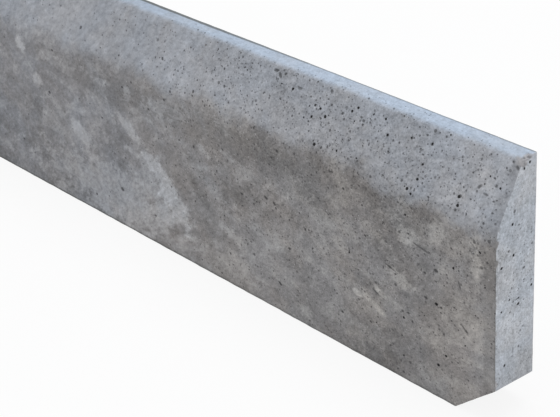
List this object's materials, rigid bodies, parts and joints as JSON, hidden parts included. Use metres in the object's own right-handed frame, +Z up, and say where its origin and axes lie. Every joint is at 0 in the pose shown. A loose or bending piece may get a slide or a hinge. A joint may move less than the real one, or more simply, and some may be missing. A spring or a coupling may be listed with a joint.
{
  "type": "edging kerb stone",
  "caption": "Slim precast concrete edging kerb with a splayed upper front edge and one lower end corner cut away.",
  "frame": {"origin": "middle of the base, at the bottom centre of the box round the block", "axes": "+X along the kerb towards the end with the cut corner, +Y through the thickness from the splayed front to the flat back, +Z up"},
  "size_m": [1, 0.05, 0.25],
  "materials": {
    "concrete": "pressed grey concrete, smooth with open pores, weathered"
  },
  "bodies": {
    "root": {"kerb_stone": "concrete"}
  },
  "joints": []
}
